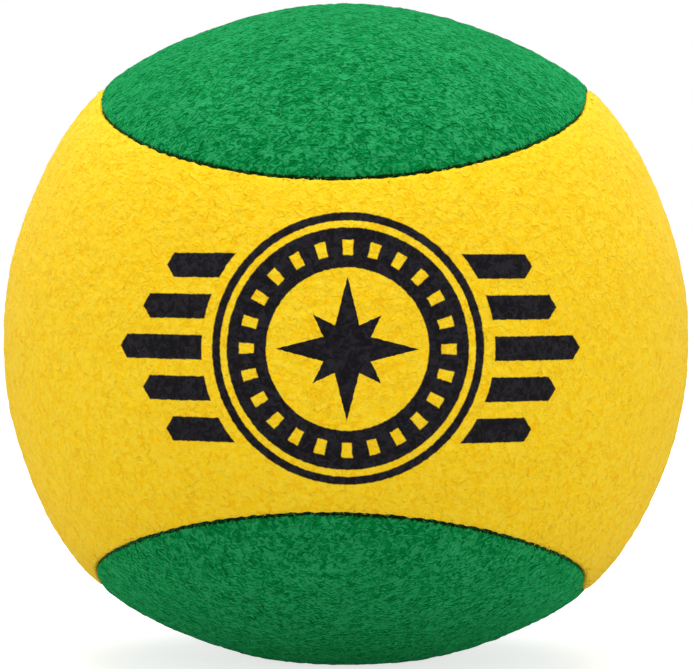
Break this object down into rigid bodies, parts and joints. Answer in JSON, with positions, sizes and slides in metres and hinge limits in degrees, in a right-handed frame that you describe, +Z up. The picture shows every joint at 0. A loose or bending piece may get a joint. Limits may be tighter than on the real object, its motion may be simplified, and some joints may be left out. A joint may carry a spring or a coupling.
{
  "type": "footbag",
  "caption": "Round footbag sewn from two interlocking figure-eight fleece panels, yellow and green, filled with plastic pellets.",
  "frame": {"origin": "under the middle of the bag, on the surface that its flattened underside rests on", "axes": "+Z up, -Y towards the front, where the yellow panel's waist is, +X to the right of the front"},
  "size_m": [0.055, 0.0544, 0.0526],
  "materials": {
    "yellow_fleece": "napped yellow fleece, matt",
    "green_fleece": "napped green fleece, matt",
    "thread": "twisted polyester sewing thread",
    "pellet_plastic": "moulded translucent white pellets"
  },
  "bodies": {
    "root": {"yellow_panel": "yellow_fleece", "green_panel": "green_fleece", "needle_thread": "thread", "bobbin_thread": "thread", "closing_thread": "thread", "pellet_bed": "pellet_plastic", "pellet_01": "pellet_plastic", "pellet_02": "pellet_plastic", "pellet_03": "pellet_plastic", "pellet_04": "pellet_plastic", "pellet_05": "pellet_plastic", "pellet_06": "pellet_plastic", "pellet_07": "pellet_plastic", "pellet_08": "pellet_plastic", "pellet_09": "pellet_plastic", "pellet_10": "pellet_plastic", "pellet_11": "pellet_plastic", "pellet_12": "pellet_plastic", "pellet_13": "pellet_plastic", "pellet_14": "pellet_plastic", "pellet_15": "pellet_plastic", "pellet_16": "pellet_plastic", "pellet_17": "pellet_plastic", "pellet_18": "pellet_plastic", "pellet_19": "pellet_plastic", "pellet_20": "pellet_plastic", "pellet_21": "pellet_plastic", "pellet_22": "pellet_plastic", "pellet_23": "pellet_plastic", "pellet_24": "pellet_plastic", "pellet_25": "pellet_plastic", "pellet_26": "pellet_plastic", "pellet_27": "pellet_plastic", "pellet_28": "pellet_plastic", "pellet_29": "pellet_plastic", "pellet_30": "pellet_plastic", "pellet_31": "pellet_plastic", "pellet_32": "pellet_plastic", "pellet_33": "pellet_plastic", "pellet_34": "pellet_plastic", "pellet_35": "pellet_plastic", "pellet_36": "pellet_plastic", "pellet_37": "pellet_plastic", "pellet_38": "pellet_plastic", "pellet_39": "pellet_plastic", "pellet_40": "pellet_plastic", "pellet_41": "pellet_plastic", "pellet_42": "pellet_plastic", "pellet_43": "pellet_plastic", "pellet_44": "pellet_plastic", "pellet_45": "pellet_plastic", "pellet_46": "pellet_plastic", "pellet_47": "pellet_plastic", "pellet_48": "pellet_plastic"}
  },
  "joints": []
}
